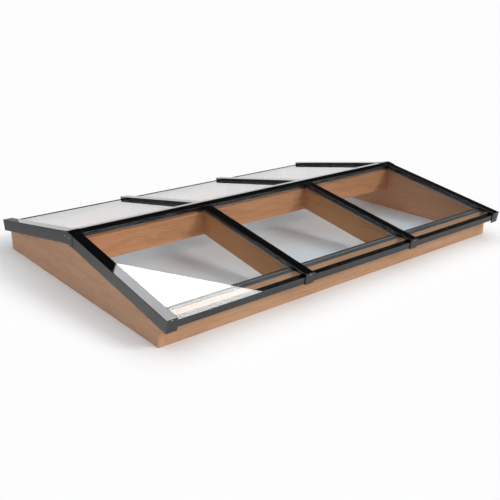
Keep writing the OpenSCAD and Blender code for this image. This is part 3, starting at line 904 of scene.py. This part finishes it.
@dataclass
class Fasteners:
    """Screws of the plates, blocks and profiles.

    Attributes:
        steel: Finish of the screws.
        head: Radius of a head that shows.
        height: Height of a head.
        crown: Width of the head's rounded rim.
        rim_steps: Facets across that rim.
        socket: Distance from the hexagon socket's middle to its sides.
        depth: Depth of the socket.
        shank: Radius of the shank.
        tip: Length of the shank's tapered tip.
        taper: Share of the shank's radius at its end.
        sides: Facets round a head.
    """

    steel: SolidFinish = STEEL
    head: float = 0.0040
    height: float = 0.0025
    crown: float = 0.0017
    rim_steps: int = 4
    socket: float = 0.00125
    depth: float = 0.0014
    shank: float = 0.0020
    tip: float = 0.0020
    taper: float = 0.55
    sides: int = 24

    def build(self, effects: Effects) -> None:
        """Builds the screws that show in detail, and dresses the others.

        Args:
            effects: The shared shader groups.
        """
        steel = self.steel.material(effects)
        dress(steel, "pressure_plate_screws", "eaves_profile_screws")
        for node in ("end_block_screws", "ridge_end_screws"):
            self.socket_screws(node, steel)

    def socket_screws(self, node: str, steel: bpy.types.Material) -> None:
        """Builds a set of socket-head screws on the axes of a CAD node's screws.

        Args:
            node: The CAD node.
            steel: The screws' material.
        """
        drawn = bmesh.new()
        drawn.from_mesh(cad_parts[node].data)
        bmesh.ops.remove_doubles(drawn, verts=drawn.verts, dist=MERGE_DISTANCE)
        form = bmesh.new()
        for points in islands(drawn):
            middle = sum(points, Vector()) / len(points)
            if node == "ridge_end_screws":
                axis = Vector((math.copysign(1.0, middle.x), 0.0, 0.0))
            else:
                axis = Vector((0.0, math.copysign(math.cos(PITCH), middle.y), -math.sin(PITCH)))
            reach = [point.dot(axis) for point in points]
            top = middle + axis * (max(reach) - middle.dot(axis))
            placed = self.screw(max(reach) - min(reach))
            placed.transform(Matrix.Translation(top) @ axis.to_track_quat("Z", "Y").to_matrix().to_4x4())
            form.from_mesh(placed)
            bpy.data.meshes.remove(placed)
        drawn.free()
        place_piece(form, f"{node}_socket", steel, node)

    def screw(self, length: float) -> bpy.types.Mesh:
        """Models one screw: a rounded head with a hexagon socket, and a shank with a tapered tip.

        Args:
            length: Length over all.

        Returns:
            The mesh, with the middle of the head's top at the origin and the shank downwards.
        """
        form = bmesh.new()
        bmesh.ops.create_cone(form, cap_ends=True, segments=self.sides, radius1=self.head,
                              radius2=self.head, depth=self.height,
                              matrix=Matrix.Translation((0.0, 0.0, -self.height / 2)))

        def outermost(sign: float) -> bmesh.types.BMFace:
            """Finds the flat face at the top, for a sign of 1, or at the bottom, for -1."""
            return max(form.faces, key=lambda face: sign * face.calc_center_median().z)

        bmesh.ops.bevel(form, geom=list(outermost(1.0).edges), offset=self.crown, offset_type="OFFSET",
                        affect="EDGES", segments=self.rim_steps, profile=0.5, material=-1)
        under = outermost(-1.0)
        bmesh.ops.inset_individual(form, faces=[under], thickness=self.head - self.shank)
        for drop, share in ((length - self.height - self.tip, 1.0), (self.tip, self.taper)):
            under = bmesh.ops.extrude_discrete_faces(form, faces=[under])["faces"][0]
            bmesh.ops.scale(form, verts=under.verts, vec=(share, share, 1.0))
            bmesh.ops.translate(form, verts=under.verts, vec=(0.0, 0.0, -drop))
        crest = outermost(1.0)
        bmesh.ops.inset_individual(form, faces=[crest], thickness=self.head - self.crown - self.socket)
        for vert in crest.verts:
            turn = math.atan2(vert.co.y, vert.co.x) % SIXTH - SIXTH / 2
            vert.co *= self.socket / math.cos(turn) / vert.co.length
        bottom = bmesh.ops.extrude_discrete_faces(form, faces=[crest])["faces"][0]
        bmesh.ops.translate(form, verts=bottom.verts, vec=(0.0, 0.0, -self.depth))
        for face in form.faces:
            face.smooth = True
        mesh = take_mesh(form, "socket_screw")
        mesh.set_sharp_from_angle(angle=SHARP_ANGLE)
        return mesh


@dataclass
class Studio:
    """White floor, sky, lamp and camera.

    Attributes:
        floor_size: Side of the floor in metres.
        floor_colour: Colour of the floor.
        floor_drop: How far the floor lies under the foot of the kerb, in metres.
        heading: Direction that the camera and the overhead panel face, in degrees from +Y towards +X.
        panel_near: Where the overhead panel starts ahead, for each metre of its height.
        panel_far: Where the panel ends ahead, for each metre of its height.
        panel_left: Reach of the panel to the left, for each metre of its height.
        panel_right: Reach of the panel to the right, for each metre of its height.
        panel_soft: Half the width of the soft edges of the panel and of the duller stretch.
        panel_light: Strength of the panel as polished surfaces see it.
        horizon: Strength of the bright horizon as polished surfaces see it.
        horizon_top: Height where the horizon starts to fade, as the sine of its elevation.
        horizon_fade: Height where the horizon has faded.
        gap_left: Left edge of a duller stretch of the horizon, in degrees from the heading towards +X.
        gap_right: Right edge of that stretch.
        gap_light: Strength of that stretch as polished surfaces see it.
        gap_low: Height under which it brightens towards the ground, as the sine of its elevation.
        ground: Height where it is as bright as the ground.
        ground_light: Strength of the ground there.
        ground_edge: Place on X. Polished surfaces see that ground, not the floor, left of it and where the
            floor lies in the duller stretch as seen from the camera.
        dim: Strength of the rest of the sky as polished surfaces see it.
        soft_edge: Height of the soft overhead light's edge, as the sine of its elevation.
        soft_top: Strength of the overhead light on matt surfaces.
        soft_side: Strength of the rest of the sky on matt surfaces.
        soft_tint: Colour of the sky's light on matt surfaces.
        key_side: Direction of the key lamp, in degrees from -Y towards +X.
        key_height: Elevation of the key lamp in degrees.
        key_spread: Angle that the key lamp takes up in the sky, in degrees.
        key_light: Strength of the key lamp.
        key_tint: Colour of the key lamp.
        camera_place: Place of the camera.
        camera_tilt: How far the camera looks down, in degrees.
        lens: Focal length in millimetres.
        sensor: Width of the camera's sensor in millimetres.
        sight: How far the camera sees, in metres.
    """

    floor_size: float = 1600.0
    floor_colour: Colour = (0.97, 0.97, 0.97)
    floor_drop: float = 0.0008
    heading: float = 39.33
    panel_near: float = 0.3
    panel_far: float = 1.269
    panel_left: float = 0.130
    panel_right: float = 0.9
    panel_soft: float = 0.001
    panel_light: float = 4.7
    horizon: float = 1.6
    horizon_top: float = 0.16
    horizon_fade: float = 0.30
    gap_left: float = -100.0
    gap_right: float = -19.75
    gap_light: float = 0.30
    gap_low: float = -0.27
    ground: float = -0.407
    ground_light: float = 0.90
    ground_edge: float = -1.45
    dim: float = 0.018
    soft_edge: float = 0.62
    soft_top: float = 1.19
    soft_side: float = 0.064
    soft_tint: Colour = (0.970, 1.0, 1.025)
    key_side: float = 30.0
    key_height: float = 32.0
    key_spread: float = 20.0
    key_light: float = 1.62
    key_tint: Colour = (1.0, 0.926, 0.870)
    camera_place: Triple = (-3.20607, -3.84891, 1.75711)
    camera_tilt: float = 20.09
    lens: float = 50.0
    sensor: float = 36.0
    sight: float = 3200.0

    def build(self) -> None:
        """Builds the whole studio."""
        self.floor()
        self.sky()
        self.key()
        self.camera()
        bpy.context.scene.view_settings.view_transform = "Standard"

    def floor(self) -> None:
        """Lays the floor, which is clear from below and, on the left, in polished surfaces."""
        form = bmesh.new()
        bmesh.ops.create_grid(form, x_segments=1, y_segments=1, size=self.floor_size / 2)
        mesh = take_mesh(form, "studio_floor")
        material, sk, shader, out = start_material("studio_floor")
        shader.inputs["Base Color"].default_value = (*self.floor_colour, 1.0)
        shader.inputs["Roughness"].default_value = 1.0
        shader.inputs["Specular IOR Level"].default_value = 0.0
        below = sk.add("ShaderNodeNewGeometry").outputs["Backfacing"]
        place = sk.add("ShaderNodeTexCoord").outputs["Object"]
        across = sk.add("ShaderNodeSeparateXYZ", {"Vector": place}).outputs["X"]
        ahead = sk.add("ShaderNodeVectorMath", {0: place, 1: self.camera_place}, operation="SUBTRACT")
        beside = sk.math("LESS_THAN", across, self.ground_edge)
        left = sk.math("MAXIMUM", beside, self.gap(sk, ahead.outputs[0]))
        mirrored = sk.math("MULTIPLY", left, sk.add("ShaderNodeLightPath").outputs["Is Glossy Ray"])
        let_through(sk, shader, out, sk.math("MAXIMUM", below, mirrored))
        mesh.materials.append(material)
        plane = add_object("studio_floor", mesh)
        plane.location.z = -self.floor_drop

    def within(self, sk: Sketch, direction: Socket, *normals: Vector) -> Socket:
        """Masks the directions that lie inside a few planes through the eye.

        Args:
            sk: The sketch to add the nodes to.
            direction: The direction looked in.
            normals: Inward direction of each plane.

        Returns:
            The mask socket.
        """
        mask: float | Socket = 1.0
        for normal in normals:
            side = sk.add("ShaderNodeVectorMath", {0: direction, 1: normal}, operation="DOT_PRODUCT")
            edge = sk.span(side.outputs["Value"], 0.0, 1.0, -self.panel_soft, self.panel_soft)
            mask = sk.math("MULTIPLY", mask, edge)
        return mask

    def gap(self, sk: Sketch, direction: Socket) -> Socket:
        """Masks the duller stretch of the horizon, for a direction looked in."""
        left, right = (math.radians(self.heading + turn) for turn in (self.gap_left, self.gap_right))
        return self.within(sk, direction, Vector((math.cos(left), -math.sin(left), 0.0)),
                           Vector((-math.cos(right), math.sin(right), 0.0)))

    def panel(self, sk: Sketch, direction: Socket) -> Socket:
        """Masks the overhead panel, whose four edges are planes through the eye.

        Args:
            sk: The sketch to add the nodes to.
            direction: The direction looked in.

        Returns:
            The mask socket.
        """
        turn = math.radians(self.heading)
        ahead = Vector((math.sin(turn), math.cos(turn), 0.0))
        right = Vector((math.cos(turn), -math.sin(turn), 0.0))
        up = Vector((0.0, 0.0, 1.0))
        return self.within(sk, direction, up * self.panel_far - ahead, ahead - up * self.panel_near,
                           up * self.panel_left + right, up * self.panel_right - right)

    def sky(self) -> None:
        """Sets the sky, which differs for the camera, for polished surfaces and for matt ones."""
        world = bpy.data.worlds.new("studio_sky")
        bpy.context.scene.world = world
        world.use_nodes = True
        sk = Sketch(world.node_tree)
        out = sk.add("ShaderNodeOutputWorld")
        direction = sk.add("ShaderNodeTexCoord").outputs["Generated"]
        height = sk.add("ShaderNodeSeparateXYZ", {"Vector": direction}).outputs["Z"]
        low = sk.span(height, self.dim, self.horizon, self.horizon_fade, self.horizon_top)
        dull = sk.span(height, self.gap_light, self.ground_light, self.gap_low, self.ground)
        around = sk.pick(self.gap(sk, direction), sk.math("MINIMUM", low, dull), low)
        panel = sk.math("MULTIPLY", self.panel(sk, direction), self.panel_light)
        polished = sk.math("ADD", around, panel)
        matt = sk.span(sk.math("GREATER_THAN", height, self.soft_edge), self.soft_side, self.soft_top)
        rays = sk.add("ShaderNodeLightPath").outputs
        seen = rays["Is Camera Ray"]
        bright = sk.math("MAXIMUM", rays["Is Glossy Ray"], rays["Is Transmission Ray"])
        strength = sk.pick(seen, 1.0, sk.pick(bright, polished, matt))
        tint = sk.mix(sk.math("MAXIMUM", seen, bright), self.soft_tint, WHITE)
        sky = sk.add("ShaderNodeBackground", {"Color": tint, "Strength": strength})
        sk.tree.links.new(sky.outputs[0], out.inputs["Surface"])

    def key(self) -> None:
        """Hangs the key lamp, which polished surfaces don't show."""
        data = bpy.data.lights.new("key_lamp", "SUN")
        data.angle = math.radians(self.key_spread)
        data.energy = self.key_light
        data.color = self.key_tint
        lamp = add_object("key_lamp", data)
        turns = (LEVEL - self.key_height, 0.0, self.key_side)
        lamp.rotation_euler = [math.radians(turn) for turn in turns]
        lamp.visible_glossy = False
        lamp.visible_camera = False

    def camera(self) -> None:
        """Sets the camera up where the photograph was taken from."""
        data = bpy.data.cameras.new("camera")
        data.lens = self.lens
        data.sensor_width = self.sensor
        data.clip_end = self.sight
        camera = add_object("camera", data)
        camera.location = self.camera_place
        turns = (LEVEL - self.camera_tilt, 0.0, -self.heading)
        camera.rotation_euler = [math.radians(turn) for turn in turns]
        bpy.context.scene.camera = camera


def main() -> None:
    """Dresses the rooflight and sets up the studio."""
    logging.basicConfig(level=logging.INFO, format="%(name)s: %(message)s")
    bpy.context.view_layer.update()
    effects = Effects()
    for assembly in (TimberKerb(), GlazingBars(), GlassUnits(), Fasteners()):
        assembly.build(effects)
    Studio().build()


if __name__ == "__main__":
    main()
